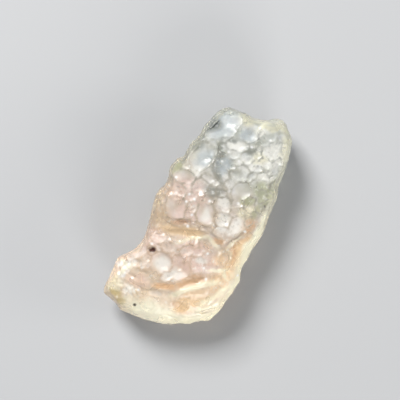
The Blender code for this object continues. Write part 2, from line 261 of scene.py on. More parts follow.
# %% The underside and the rounded edges between the two faces
WIDEST = 4.7
WIDEST_SWAY = 0.9
SWAY_SIZE = 7.0
EDGE_SWAY = 0.4
EDGE_SHARE = 0.42
TOP_EDGE = 2.0
UNDER_EDGE = 3.4
LEAST_WALL = 2.0
WALL_SOFTNESS = 0.8
BELLY = 2.7
BELLY_OVAL = (-0.3, -1.5, 11.5, 22.5, 0)
BELLY_CURVE = 2.2
FOOT_CUT = 0.45


def sway(x, y, size):
    """A slow wave over the plan, between about -1 and 1."""
    return np.array([noise.noise(Vector((a / size, b / size, 3.7))) for a, b in zip(x, y)])


def under_height(x, y):
    """The belly's lowest part is below zero, and so it is cut flat where the stone rests."""
    share = np.hypot(*in_ellipse(x, y, BELLY_OVAL))
    return BELLY * share ** BELLY_CURVE - FOOT_CUT


def body_points(directions):
    """The uncarved body: unit directions moved to the outline, the edges and both faces."""
    angle = np.arctan2(directions[:, 1], directions[:, 0])
    rise = np.arcsin(np.clip(directions[:, 2], -1, 1)) / (math.pi / 2)
    above = rise > 0
    rim = outline_radius(angle)
    wander = sway(rim * np.cos(angle), rim * np.sin(angle), SWAY_SIZE)
    widest = WIDEST + WIDEST_SWAY * wander
    rounding = np.where(above, TOP_EDGE, UNDER_EDGE) * (1 - EDGE_SWAY * wander)
    bend = np.clip(np.abs(rise) / EDGE_SHARE, 0, 1) * math.pi / 2
    inward = np.clip((np.abs(rise) - EDGE_SHARE) / (1 - EDGE_SHARE), 0, 1)
    radius = (rim - rounding * (1 - np.cos(bend))) * (1 - inward)
    x = MIDDLE[0] + radius * np.cos(angle)
    y = MIDDLE[1] + radius * np.sin(angle)
    top = widest + LEAST_WALL + softly_above(top_height(x, y) - widest - LEAST_WALL, WALL_SOFTNESS)
    face = np.where(above, top, under_height(x, y))
    return np.column_stack([x, y, widest + (face - widest) * np.sin(bend)])


print("the upper face is", TOP, "mm up; the foot takes", FOOT_CUT, "mm off the belly")

# %% [markdown]
# ## An even skin
#
# A ball's points, pushed out to the outline, sit close in some places and far apart in others.
# A voxel Remesh spreads them evenly, so that every cup gets the same number of faces. A cell of a
# fifth of a millimetre is about as fine as the eye can see on a stone of this size.

# %% Remesh the body
CELL = 0.20
BALL_DIVISIONS = 7


def coordinates(mesh):
    values = np.empty(len(mesh.vertices) * 3)
    mesh.vertices.foreach_get("co", values)
    return values.reshape(-1, 3)


def set_coordinates(mesh, points):
    mesh.vertices.foreach_set("co", points.astype(np.float32).ravel())
    mesh.update()


def normals_of(mesh):
    values = np.empty(len(mesh.vertices) * 3)
    mesh.vertices.foreach_get("normal", values)
    return values.reshape(-1, 3)


def even_body():
    bpy.ops.mesh.primitive_ico_sphere_add(subdivisions=BALL_DIVISIONS, radius=1)
    ball = bpy.context.object
    points = coordinates(ball.data)
    points /= np.linalg.norm(points, axis=1, keepdims=True)
    set_coordinates(ball.data, body_points(points) * MM)
    remesh = ball.modifiers.new("even mesh", "REMESH")
    remesh.mode = "VOXEL"
    remesh.voxel_size = CELL * MM
    graph = bpy.context.evaluated_depsgraph_get()
    mesh = bpy.data.meshes.new_from_object(ball.evaluated_get(graph), depsgraph=graph)
    bpy.data.objects.remove(ball, do_unlink=True)
    return mesh


skin = even_body()
print("the even skin has", len(skin.polygons), "faces")

# %% [markdown]
# ## The cups
#
# Each cup is an oval dent. Where two overlap, the deeper one wins, and that leaves the sharp ridge
# seen between real ones. Adding the depths instead would melt neighbours into one hollow. Broad
# bowls are cut first, and the cups then follow their slopes.

# %% The bowls and hollows, from the head to the toe
BOWLS = [  # x, y, long radius, short radius, turn of the long radius, depth
    (-7.2, 17.3, 3.9, 3.1, 62, 0.85),
    (-7.5, 9.8, 3.0, 2.6, 80, 0.85),
    (-8.3, 4.9, 2.4, 1.3, 10, 0.45),
    (-6.9, -1.2, 2.5, 2.1, -60, 0.65),
    (-1.2, 0.6, 2.4, 1.9, -65, 0.75),
    (2.6, 7.6, 2.1, 1.7, 60, 0.50),
    (-3.8, -12.0, 2.2, 2.1, 0, 0.65),
    (0.2, -11.5, 2.1, 1.7, 50, 0.50),
]
SMOOTH_HOLLOWS = [
    (-2.4, -4.6, 4.6, 0.9, 27, 0.25),
    (-4.4, -3.3, 1.7, 0.8, 25, 0.38),
    (3.0, -12.3, 3.4, 1.0, 42, 0.50),
    (-1.2, -15.5, 2.6, 0.9, 22, 0.35),
    (-6.3, -16.3, 2.4, 1.4, 12, 0.30),
    (5.8, -14.1, 3.2, 2.1, 38, 0.50),
    (3.4, -17.6, 1.9, 1.3, 30, 0.22),
    (8.8, -15.6, 2.4, 0.5, 48, 0.16),
    (6.8, -18.3, 2.2, 0.4, 42, 0.14),
    (3.0, -20.4, 1.8, 0.4, 25, 0.10),
]
print(len(BOWLS), "bowls and", len(SMOOTH_HOLLOWS), "smooth hollows")

# %% The larger cups, in the same terms
CUPS = [
    (-8.6, 16.5, 1.3, 1.0, 80, 0.30), (-7.4, 20.3, 0.8, 0.6, 20, 0.25),
    (-1.9, 18.0, 1.9, 1.6, 60, 0.60), (-2.4, 15.2, 1.9, 1.2, 30, 0.45),
    (-2.7, 13.0, 1.5, 0.9, 25, 0.30), (2.3, 19.9, 1.2, 0.9, 60, 0.22),
    (4.4, 20.6, 1.0, 0.7, 10, 0.25), (4.5, 19.0, 0.9, 0.4, 5, 0.25),
    (4.0, 17.4, 1.7, 1.4, 40, 0.40), (1.6, 18.0, 1.0, 0.7, 0, 0.30),
    (0.2, 16.5, 0.8, 0.7, 0, 0.25), (1.9, 15.6, 1.0, 0.8, 50, 0.25),
    (3.8, 14.8, 1.0, 0.9, 0, 0.30), (0.3, 13.9, 1.1, 0.9, 30, 0.30),
    (2.4, 13.2, 1.2, 0.9, 40, 0.30), (6.2, 14.4, 1.0, 0.8, 90, 0.30),
    (7.2, 12.4, 1.2, 1.1, 0, 0.45), (4.6, 12.2, 0.9, 0.8, 30, 0.30),
    (-6.3, 12.5, 1.2, 1.0, -60, 0.35), (-9.6, 12.8, 0.9, 0.6, 60, 0.25),
    (-4.4, 13.2, 0.9, 0.6, -60, 0.25), (-2.3, 11.0, 1.5, 1.0, 10, 0.40),
    (0.7, 10.6, 1.6, 1.5, 30, 0.60), (2.9, 11.0, 0.9, 0.6, 80, 0.30),
    (5.5, 10.9, 1.2, 0.8, -20, 0.33), (-2.4, 9.1, 1.8, 1.2, -35, 0.50),
    (0.0, 7.9, 0.9, 0.8, 0, 0.30), (4.8, 8.8, 0.8, 0.8, 0, 0.30),
    (6.5, 8.9, 1.2, 0.9, -60, 0.35), (5.6, 6.4, 1.3, 0.8, -60, 0.30),
    (7.2, 6.9, 0.8, 0.7, 0, 0.25), (3.2, 5.5, 1.0, 0.8, 20, 0.30),
    (-4.6, 4.4, 1.6, 1.2, 90, 0.50), (-7.4, 3.9, 1.0, 0.8, 0, 0.25),
    (-4.3, 6.6, 0.8, 0.7, 0, 0.30), (-0.7, 5.5, 0.9, 0.6, 20, 0.30),
    (-2.0, 3.1, 0.8, 0.6, 20, 0.28), (-10.5, 5.8, 0.9, 0.8, 0, 0.30),
    (-8.3, 1.6, 1.5, 1.3, -60, 0.45), (-5.4, 1.8, 1.0, 0.7, 60, 0.25),
    (-10.8, 0.0, 0.8, 0.6, 60, 0.25), (-9.6, -0.9, 0.7, 0.6, 0, 0.25),
    (-9.8, -2.6, 0.8, 0.6, -60, 0.25), (0.9, 3.7, 1.6, 1.3, -30, 0.55),
    (2.2, 1.4, 1.4, 1.3, 0, 0.55), (3.9, 3.4, 1.0, 0.8, 20, 0.30),
    (5.1, 1.7, 1.9, 1.2, 80, 0.45), (3.0, -0.9, 1.2, 0.9, 20, 0.38),
    (4.8, -0.9, 0.9, 0.7, 70, 0.30),
    (2.3, -4.1, 1.5, 1.4, 0, 0.45), (4.2, -4.4, 1.1, 1.0, 0, 0.35),
    (6.9, -5.7, 1.4, 1.1, -60, 0.35), (8.4, -7.6, 1.2, 1.0, -50, 0.35),
    (10.5, -7.3, 0.8, 0.6, 0, 0.25), (4.4, -6.4, 1.2, 1.1, 80, 0.40),
    (1.4, -6.6, 1.0, 0.7, 60, 0.30), (-0.6, -7.2, 1.3, 0.9, 50, 0.38),
    (2.4, -8.7, 1.4, 1.2, -60, 0.45), (4.5, -8.5, 1.4, 0.7, 20, 0.30),
    (4.3, -10.2, 1.0, 0.8, 20, 0.32), (6.5, -9.3, 1.2, 0.8, 35, 0.30),
    (8.4, -11.3, 1.5, 1.3, 90, 0.40), (-1.0, -10.2, 1.2, 1.0, -40, 0.40),
    (-4.0, -8.6, 1.3, 0.8, 25, 0.30), (-6.8, -8.0, 1.3, 0.8, 25, 0.30),
    (-6.7, -10.6, 0.7, 0.6, 0, 0.70), (-8.6, -11.8, 1.4, 1.0, 55, 0.35),
    (-7.9, -14.3, 0.9, 0.7, 30, 0.30), (-1.6, -13.6, 1.2, 0.7, 40, 0.25),
    (-4.4, -16.6, 1.1, 0.9, 0, 0.12), (-8.9, -19.2, 1.3, 0.8, 70, 0.16),
    (-10.8, -15.0, 0.8, 0.6, 0, 0.35), (-9.3, -15.6, 0.8, 0.6, 60, 0.35),
    (-10.2, -17.4, 0.7, 0.6, -80, 0.35), (-7.2, -19.2, 0.9, 0.6, 20, 0.10),
    (-5.0, -18.6, 0.9, 0.5, 10, 0.10), (-1.9, -17.8, 1.1, 0.6, 20, 0.08),
    (-6.4, -20.9, 0.9, 0.6, 40, 0.10), (-8.8, -21.5, 0.9, 0.8, 0, 0.18),
]
print(len(CUPS), "cups")

# %% [markdown]
# ## Ridges and grooves
#
# Some lines on the stone are no cup's rim: the step along the shelf, the pale ridges above the
# toe, a groove that winds down the head. Each is drawn through a few points, with a positive rise
# for a ridge and a negative one for a groove.

# %% The drawn ridges and grooves
CREASES = [  # rise, half width, points along it
    (0.30, 0.45, [(0.9, -16.7), (2.8, -14.1), (4.3, -12.7), (6.1, -10.8), (8.0, -9.6)]),
    (0.22, 0.40, [(6.6, -15.8), (8.3, -12.9), (9.8, -9.2)]),
    (-0.34, 0.20, [(7.2, 1.9), (6.6, 0.4), (6.0, -1.2), (5.3, -3.0)]),
    (0.14, 0.40, [(7.0, 1.4), (6.6, 0.2), (6.3, -1.4), (5.8, -3.4)]),
    (0.13, 0.40, [(-3.7, -7.5), (-1.0, -4.7), (1.5, -3.2), (4.1, -3.8), (4.9, -4.3)]),
    (-0.14, 0.30, [(-6.5, -3.8), (-1.2, -2.0), (1.5, -2.2), (3.7, -3.0)]),
    (-0.25, 0.28, [(-6.1, 13.5), (-5.1, 12.1), (-4.4, 10.3), (-3.3, 8.4), (-0.9, 7.2), (1.0, 6.5)]),
    (0.20, 0.30, [(4.4, -8.9), (7.0, -7.4), (8.5, -6.5)]),
    (0.20, 0.30, [(7.0, -7.4), (9.0, -8.5)]),
    (0.22, 0.40, [(0.3, 22.0), (-0.5, 19.5)]),
    (-0.25, 0.30, [(-7.5, -15.7), (-4.8, -14.7)]),
    (-0.25, 0.30, [(-8.8, -17.0), (-6.0, -17.2)]),
    (0.18, 0.40, [(6.3, -17.2), (8.8, -14.8), (11.0, -12.5)]),
    (0.30, 0.35, [(-8.6, -14.8), (-9.4, -16.2), (-10.0, -18.4)]),
    (0.25, 0.30, [(-11.2, -15.4), (-9.8, -15.6), (-8.5, -15.8)]),
    (0.10, 0.22, [(5.9, -3.5), (7.0, -3.7), (7.4, -4.6), (7.8, -5.5)]),
    (0.12, 0.24, [(6.7, -7.6), (7.6, -7.3), (8.7, -8.4), (9.4, -8.6)]),
    (0.10, 0.22, [(7.9, -6.6), (9.1, -7.1), (9.5, -8.3)]),
    (0.14, 0.26, [(8.3, -12.7), (9.2, -12.2), (9.6, -9.9), (10.2, -8.4)]),
    (0.12, 0.24, [(10.6, -8.8), (10.4, -6.9), (11.0, -6.4)]),
    (0.12, 0.30, [(6.8, -16.5), (8.1, -15.3), (9.2, -13.5), (10.0, -11.9)]),
]
print(len(CREASES), "ridges and grooves")

# %% [markdown]
# ## How a dent is cut
#
# A dent lies in the plane of the surface at its middle, so that one on a slope isn't stretched.
# Its depth falls off from the middle to the rim, and it meets the rim at a clear angle. A point
# whose surface faces another way is left alone, or a dent near an edge would cut both faces.

# %% Find where each dent lies
FACES_UP = 0.25  # a normal that rises more than this belongs to the upper face


def on_top(points, normals, shapes):
    """Each shape with the place and the normal of the upper face at its middle."""
    upper = np.flatnonzero(normals[:, 2] > FACES_UP)
    placed = []
    for x, y, *rest in shapes:
        away = np.hypot(points[upper, 0] - x, points[upper, 1] - y)
        nearest = upper[np.argmin(away)]
        placed.append((points[nearest], normals[nearest], *rest))
    return placed


print("dents lie where the normal rises more than", FACES_UP)

# %% Depth and rims of the dents
RIM_SHARPNESS = 0.95
SQUARENESS = 2.1
DENT_REACH = 1.3
FACING = (0.3, 0.4)  # how alike two normals must be for any effect, and how much more for all
NEARLY_Y = (0.01, 1, 0.02)  # never quite along a normal, so that it gives a sideways direction


def dents(points, normals, placed, rim_rise=0.0):
    """At each point: depth of the dents, how far inside one it is (0 outside, 1 mid), and which."""
    depth = np.full(len(points), -rim_rise)
    inside = np.zeros(len(points))
    owner = np.zeros(len(points), int)
    for number, (middle, normal, long_r, short_r, turn, deep) in enumerate(placed):
        near = np.flatnonzero(np.abs(points - middle).max(axis=1) < DENT_REACH * long_r)
        facing = np.clip((normals[near] @ normal - FACING[0]) / FACING[1], 0, 1)
        across = np.cross(NEARLY_Y, normal)
        across /= np.linalg.norm(across)
        along = np.cross(normal, across)
        c, s = math.cos(math.radians(turn)), math.sin(math.radians(turn))
        offset = points[near] - middle
        u = offset @ (across * c + along * s)
        v = offset @ (along * c - across * s)
        share = 1 - np.abs(u / long_r) ** SQUARENESS - np.abs(v / short_r) ** SQUARENESS
        cut = deep * facing * np.where(share > 0, np.abs(share) ** RIM_SHARPNESS, share)
        share = np.clip(share, 0, 1) * facing
        owner[near[cut > depth[near]]] = number
        depth[near] = np.maximum(depth[near], cut)
        inside[near] = np.maximum(inside[near], share)
    return depth, inside, owner


print("a dent reaches", DENT_REACH, "times its long radius at most")

# %% [markdown]
# ## The small cups and the far sides
#
# The small cups between the large ones are too many to place one by one. They are scattered from
# a fixed seed, the larger first and the smaller into the gaps, until they crowd each other like
# bubbles in foam. Patches that the real stone has smooth stay smooth: the toe's bevel, the shelf,
# the side facet, the saddle between the lobes. The sides and the underside, which wind didn't
# etch, get broad shallow scallops.

# %% Scatter the small cups
SMOOTH_PATCHES = [  # x, y, long radius, short radius, turn
    (1.0, -21.4, 11.0, 3.6, 16),
    (-3.5, -4.9, 6.8, 1.3, 22),
    (8.6, -2.2, 5.4, 2.2, 92),
    (-9.2, -4.8, 2.2, 1.8, 0),
    (0.9, 22.0, 2.2, 2.0, 60),
    (5.8, 21.2, 2.6, 1.6, -40),
    (-3.2, 20.6, 1.8, 1.5, 10),
    (9.4, -15.2, 4.6, 1.9, 47),
    (-4.2, -17.4, 5.0, 2.0, 8),
    (0.6, -14.6, 4.6, 1.3, 32),
    (9.9, 3.4, 6.6, 1.1, 88),
]
FILL_RADII = (1.1, 0.9, 0.75, 0.6, 0.5, 0.42)
FILL_TRIES = 260
FILL_CLEARANCE = 0.7
FILL_CROWDING = 0.72
FILL_ROUNDNESS = (0.72, 1)
FILL_DEPTH = (0.08, 0.34)
FILL_SEED = 11


def room_between(points, shapes):
    """Distance from each point to the rim of the nearest of the given ovals, seen from above."""
    room = np.full(len(points), np.inf)
    for shape in shapes:
        away = np.hypot(*in_ellipse(points[:, 0], points[:, 1], shape)) - 1
        room = np.minimum(room, away * math.sqrt(shape[2] * shape[3]))
    return room


def fill_cups(points, normals):
    """Small cups crowded into whatever the larger cups and the smooth patches leave free."""
    rng = np.random.default_rng(FILL_SEED)
    room = room_between(points, BOWLS + CUPS + SMOOTH_HOLLOWS + SMOOTH_PATCHES)
    free = np.flatnonzero((normals[:, 2] > FACES_UP) & (room > 0))
    middles, radii, placed = np.empty((0, 3)), np.empty(0), []
    for radius in FILL_RADII:
        for pick in rng.choice(free, FILL_TRIES):
            apart = np.linalg.norm(middles - points[pick], axis=1)
            crowded = (apart < FILL_CROWDING * (radii + radius)).any()
            if room[pick] < FILL_CLEARANCE * radius or crowded:
                continue
            middles = np.vstack([middles, points[pick]])
            radii = np.append(radii, radius)
            shape = (radius, radius * rng.uniform(*FILL_ROUNDNESS), rng.uniform(-90, 90))
            placed.append((points[pick], normals[pick], *shape, radius * rng.uniform(*FILL_DEPTH)))
    return placed


print("small cups of radius", FILL_RADII[0], "to", FILL_RADII[-1], "mm")

# %% Scatter the scallops
SCALLOPS = 90
SCALLOP_RADII = (1.1, 3.2)
SCALLOP_ROUNDNESS = (0.65, 1)
SCALLOP_DEPTH = 0.2
SCALLOP_SEED = 29
SCALLOP_SPACING = 0.9
SCALLOP_GAP = 0.4
SIDE_SLOPE = 0.3
FOOT_OVAL = (0, -1.5, 7.0, 12.0, 0)
FOOT_HEIGHT = 1.5


def scallops(points, normals):
    """Broad shallow dents spread over the sides and the underside, clear of the foot."""
    rng = np.random.default_rng(SCALLOP_SEED)
    clear = np.hypot(*in_ellipse(points[:, 0], points[:, 1], FOOT_OVAL)) > 1
    low = np.flatnonzero((normals[:, 2] < SIDE_SLOPE) & (clear | (points[:, 2] > FOOT_HEIGHT)))
    placed = []
    for pick in rng.permutation(low):
        radius = rng.uniform(*SCALLOP_RADII)
        apart = SCALLOP_SPACING * radius + SCALLOP_GAP
        if any(np.linalg.norm(points[pick] - other[0]) < apart for other in placed):
            continue
        shape = (radius, radius * rng.uniform(*SCALLOP_ROUNDNESS), rng.uniform(-90, 90))
        placed.append((points[pick], normals[pick], *shape, radius * SCALLOP_DEPTH))
        if len(placed) == SCALLOPS:
            break
    return placed


print(SCALLOPS, "scallops for the sides and the underside")

# %% [markdown]
# ## Noise that bends and roughens
#
# Drawn ovals look drawn. Real cups are never quite round, because the glass differs from place
# to place. So each oval is read at points that a slow noise has pushed a little aside, which bends
# its rim. The same noise, at other sizes, gives the surface its swell and its crust.

# %% Waves, patches and bent points
SHIFTS = (20, 50, 80)


def waves(points, size):
    """Rises and falls, between about -1 and 1. Points moved along by a number get other waves."""
    return np.array([noise.noise(Vector(p / size)) for p in points])


def patch_mask(x, y, patches):
    """Soft ovals, full out to half of their radii and gone at the rim."""
    mask = np.zeros(len(x))
    for patch in patches:
        mask = np.maximum(mask, np.clip(2 - 2 * np.hypot(*in_ellipse(x, y, patch)), 0, 1))
    return mask


def bent(points, size, amount):
    """The points moved about by a slow noise, so that an oval read from them loses its evenness."""
    push = [waves(points + shift, size) for shift in SHIFTS]
    return points + amount * np.column_stack(push)


print("a bend uses", len(SHIFTS), "noises")

# %% The height of the creases
CREASE_BEND = (1.1, 0.22)  # size of the waves, and how far they push
CREASE_END = 1.2
CREASE_TIP = 0.25
CREASE_SLOPE = 0.2


def crease_height(points, normals):
    """Rise of the ridges and fall of the grooves along the drawn lines."""
    height = np.zeros(len(points))
    flat = bent(points, *CREASE_BEND)[:, :2]
    for rise, half_width, line in CREASES:
        line = np.array(line)
        nearest = np.full(len(points), np.inf)
        for start, end in zip(line[:-1], line[1:]):
            run = end - start
            along = np.clip((flat - start) @ run / (run @ run), 0, 1)
            away = np.linalg.norm(flat - start - along[:, None] * run, axis=1)
            nearest = np.minimum(nearest, away)
        ends = np.minimum(*(np.linalg.norm(flat - tip, axis=1) for tip in (line[0], line[-1])))
        taper = np.clip(ends / CREASE_END, CREASE_TIP, 1)
        height += rise * taper * np.exp(-(nearest / half_width) ** 2)
    return height * (normals[:, 2] > CREASE_SLOPE)


print("a crease fades out over its last", CREASE_END, "mm")

# %% [markdown]
# ## Measuring every dent
#
# Nothing is cut yet. Each point of the skin first learns how deep every kind of dent is there, and
# how far inside it the point lies. The finish needs those numbers too, so they are kept apart.
# The cups are widened a little, so that neighbours touch and share one thin ridge.

# %% Measure the bowls, cups and scallops
BROAD_BEND = (2.4, 0.34)
FINE_BEND = (0.9, 0.09)
CUP_SPREAD = 1.22
CUP_DEPTH = 1.15
RIM_RISE = 0.02


def widened(cups):
    """The cups with longer radii and more depth, at the same places."""
    return [
        (x, y, CUP_SPREAD * long_r, CUP_SPREAD * short_r, turn, CUP_DEPTH * deep)
        for x, y, long_r, short_r, turn, deep in cups
    ]


points = coordinates(skin) / MM
normals = normals_of(skin)
x, y, facing_up = points[:, 0], points[:, 1], normals[:, 2]
loose = bent(bent(points, *BROAD_BEND), *FINE_BEND)
bowls = on_top(points, normals, BOWLS)
hollows = on_top(points, normals, SMOOTH_HOLLOWS)
cups = on_top(points, normals, widened(CUPS))
fill = fill_cups(points, normals)
bowl_depth, in_bowl, _ = dents(loose, normals, bowls)
hollow_depth, in_hollow, _ = dents(loose, normals, hollows)
cup_depth, in_cup, cup_number = dents(loose, normals, cups, RIM_RISE)
fill_depth, in_fill, fill_number = dents(loose, normals, fill, RIM_RISE)
scallop_depth, _, _ = dents(points, normals, scallops(points, normals))
print(len(fill), "small cups found room between the larger ones")

# %% [markdown]
# ## Carving
#
# The depths are now added up. The deeper of two dents wins within a kind, and the kinds follow
# each other. Thin raised veins wander over what is left between the cups, and a coarse crust
# covers a few patches. Then every point moves inward along its normal, which keeps the mesh
# closed, and whatever would lie below the table is pressed flat. Last, the plan is centred, so
# that the stone lies where the solid lies.

# %% Carve the skin
VEIN_SIZE = 1.5
VEIN_WIDTH = 0.13
VEIN_RISE = 0.09
VEIN_FADE = 4
SWELLS = ((0.18, 5.0), (0.09, 1.6))  # height and length of the slow waves
GRAIN_HEIGHT = 0.045
GRAIN_SIZE = 0.6
CRUST_HEIGHT = 0.20
CALM_BOWLS = (0.6, 0.8)  # how much of the ripple and of the grain a bowl loses
CRUST_PATCHES = [
    (2.4, 14.8, 3.4, 2.4, 30), (6.2, 12.6, 2.4, 2.8, 0), (-9.8, -16.4, 2.6, 1.5, -80),
    (4.6, 18.6, 2.6, 1.9, 20), (-6.6, -19.4, 4.0, 1.8, 10), (8.2, 9.6, 3.6, 1.4, 90),
]

creases = crease_height(points, normals)
outside = 1 - np.clip(np.maximum(np.maximum(in_cup, in_bowl), in_hollow) * VEIN_FADE, 0, 1)
veins = 1 - np.clip(np.abs(waves(points + 33, VEIN_SIZE)) / VEIN_WIDTH, 0, 1)
veins *= outside * np.clip(room_between(points, SMOOTH_PATCHES), 0, 1)
crust = patch_mask(x, y, CRUST_PATCHES) * (facing_up > CREASE_SLOPE)
depth = np.maximum(bowl_depth, hollow_depth) + np.maximum(cup_depth, fill_depth)
depth += scallop_depth - creases - VEIN_RISE * veins
(swell, swell_size), (ripple, ripple_size) = SWELLS
depth -= swell * waves(points, swell_size)
depth -= ripple * (1 - CALM_BOWLS[0] * in_bowl) * waves(points + 40, ripple_size)
roughened = (GRAIN_HEIGHT + CRUST_HEIGHT * crust) * (1 - CALM_BOWLS[1] * in_bowl)
depth -= roughened * waves(points + 60, GRAIN_SIZE)
carved = points - normals * depth[:, None]
carved[:, 2] = np.maximum(carved[:, 2], 0)
carved[:, :2] -= (carved[:, :2].min(axis=0) + carved[:, :2].max(axis=0)) / 2
set_coordinates(skin, carved * MM)
print("the deepest point lies", round(float(depth.max()), 2), "mm under the skin")

# %% [markdown]
# ## Where the colours lie
#
# Real desert glass isn't one colour. Metal traces, dust in old cracks and the glass's thickness
# tint it from place to place, in soft patches without an edge. Some tints are painted light and
# shade instead: a painted glow on the toe's bevel and the right rim, a painted shadow in the head's
# largest bowl, and painted shade in the dark patches along the head's groove. They could be painted
# by hand. Here a short list of ovals says where each tint lies, and a name says what it is like.
# Two rust pits, two dark specks and painted glints, small white highlights, are placed in the same
# way.

# %% Tints, pits, specks and glints
RUST_PITS = [(-6.5, -10.5, 0.5), (-6.9, -10.9, 0.3)]  # x, y, radius
SPECKS = [(8.1, 7.5, 0.26), (-4.3, -21.7, 0.3)]
TINTS = {  # colour, strength, patches of x, y, long radius, short radius, turn
    "amber": ((0.68, 0.42, 0.23), 0.8, [
        (8.2, -2.6, 4.6, 1.9, 90), (-4.6, -3.2, 1.8, 0.8, 25),
        (3.0, -12.3, 4.2, 1.3, 42), (-1.2, -15.5, 3.0, 1.1, 22), (3.4, -17.8, 2.4, 1.5, 30),
        (6.8, 2.6, 3.0, 1.6, 70), (4.0, -2.6, 2.0, 1.2, 20),
    ]),
    "tan": ((0.53, 0.40, 0.28), 0.8, [
        (-9.0, -5.0, 3.6, 2.3, 75), (-10.2, 0.0, 3.2, 1.5, 80),
        (-5.6, -4.4, 3.2, 0.9, 20), (5.6, -4.6, 1.8, 1.0, 60),
    ]),
    "peach": ((0.87, 0.63, 0.38), 0.8, [
        (5.0, -15.0, 5.2, 2.7, 58), (8.0, -9.0, 5.4, 2.6, 80), (8.4, -1.6, 3.4, 1.2, 92),
        (-3.0, -4.6, 6.0, 1.3, 22), (5.8, -6.0, 2.0, 1.4, 30), (9.6, -4.4, 2.0, 1.0, 90),
    ]),
    "rose": ((0.79, 0.56, 0.49), 0.5, [
        (-6.8, 2.6, 5.0, 3.6, 20), (1.6, -8.6, 6.0, 2.8, 25), (-8.6, -9.0, 3.8, 2.8, 40),
        (-10.8, -15.6, 3.8, 2.2, 80), (-0.6, -6.2, 5.0, 1.6, 20), (-4.6, -1.6, 3.6, 2.2, 20),
        (-6.2, -17.2, 3.2, 1.9, 10), (-4.6, 2.6, 2.6, 3.4, 0), (-11.0, -17.0, 3.4, 1.6, 85),
    ]),
    "chalk": ((0.90, 0.89, 0.84), 0.8, [
        (4.0, 16.6, 4.2, 3.0, 45), (1.2, 12.8, 3.4, 1.8, 20), (-2.4, 14.8, 2.2, 1.4, 20),
        (0.9, 3.9, 1.8, 1.5, -30), (-1.1, 0.4, 1.7, 1.4, -65), (5.2, 1.4, 2.4, 1.6, 70),
        (2.4, 0.8, 1.8, 2.0, 0),
        (-3.8, -12.0, 1.9, 1.6, 0), (-0.6, -12.8, 2.6, 1.8, 40), (-6.8, -20.0, 1.8, 1.1, 40),
        (5.8, 12.8, 2.4, 1.8, 0), (0.2, 19.2, 2.6, 0.9, 40),
        (2.4, -7.6, 1.4, 1.0, 20), (-6.6, 6.8, 1.6, 1.0, 40),
    ]),
    "straw": ((0.88, 0.84, 0.62), 0.6, [
        (6.7, 19.4, 3.6, 1.9, -72), (3.2, 22.6, 2.8, 1.3, -20), (-1.0, 21.8, 3.0, 1.5, 20),
        (-3.2, 20.6, 2.0, 1.4, 10), (2.6, 15.2, 2.0, 1.4, 30), (8.4, 9.8, 1.4, 1.2, 0),
        (-9.8, -20.6, 2.2, 1.5, 80),
        (5.6, 4.6, 2.6, 1.5, 40), (1.9, 21.4, 1.9, 1.2, 30), (6.4, -18.9, 5.0, 1.6, 42),
    ]),
    "snow": ((1.0, 1.0, 1.0), 0.95, [
        (-9.1, -15.7, 1.9, 1.0, 70), (-9.6, -17.5, 1.7, 0.8, 80), (-10.6, -16.1, 1.2, 0.8, 30),
    ]),
    "cool": ((0.45, 0.51, 0.55), 0.7, [
        (-7.0, 17.4, 4.4, 3.5, 62), (-1.9, 17.8, 2.0, 1.8, 0), (-6.6, 9.6, 3.0, 2.2, 80),
        (-3.0, 10.6, 3.0, 2.0, 80),
    ]),
    # Dark patches on the head; those along its groove are painted shade.
    "dark_patches": ((0.18, 0.20, 0.18), 0.7, [
        (-9.6, 12.0, 3.0, 2.0, 75), (-10.6, 7.6, 2.6, 1.2, 85), (-4.6, 12.8, 3.0, 0.9, -60),
        (-2.4, 8.0, 2.6, 0.9, -40), (-4.6, 15.0, 2.2, 0.8, 20), (-1.8, 4.9, 2.8, 1.5, 10),
        (0.6, 15.4, 1.4, 0.7, 20), (-8.6, 20.2, 1.6, 0.9, 45), (-9.8, 18.2, 2.4, 0.9, 80),
    ]),
    "shadow": ((0.09, 0.105, 0.10), 0.85, [(-9.0, 16.2, 3.0, 1.9, 50)]),
    "olive": ((0.38, 0.40, 0.24), 0.75, [
        (7.9, 9.4, 4.6, 1.7, 88), (6.2, 10.2, 2.4, 1.8, 0), (4.6, 6.8, 2.4, 1.2, 50),
        (-10.4, 5.6, 1.6, 1.0, 70), (7.2, 5.6, 1.6, 1.0, 80),
    ]),
    "ochre": ((0.50, 0.39, 0.15), 0.8, [(-7.4, -22.4, 1.8, 1.1, 20), (-9.0, -21.6, 1.4, 0.8, 0)]),
    # Painted glow: the toe's bevel and the right rim made pale yellow, as if light shone through them.
    "painted_glow": ((1.0, 0.99, 0.80), 0.95, [
        (0.4, -21.4, 9.0, 3.0, 12), (10.9, -11.4, 4.6, 0.8, 86),
        (9.7, 2.6, 7.4, 1.2, 88),
    ]),
}
# Painted glints: small white spots of highlight on the ridges.
PAINTED_GLINTS = [
    (-5.8, 2.3), (-5.6, 0.8), (-4.5, 2.0), (-3.0, -3.2), (-3.1, 6.8), (-9.7, 3.9), (-3.4, -0.9),
    (3.3, 5.5), (3.8, -8.7), (7.1, 1.4), (-1.8, 3.1), (5.2, -10.3), (-7.3, -9.6), (-5.1, -18.7),
    (3.0, -5.9), (10.4, -6.7), (-3.5, 11.0), (-0.7, 12.6), (-0.8, 11.0), (-3.3, 13.2),
    (0.1, 16.2), (2.6, 19.2), (6.6, 16.1), (8.5, 11.3), (-9.3, -15.3), (-9.6, -16.3),
]
PAINTED_GLINT_RADIUS = 0.24
print(len(TINTS), "tints and", len(PAINTED_GLINTS), "painted_glints")

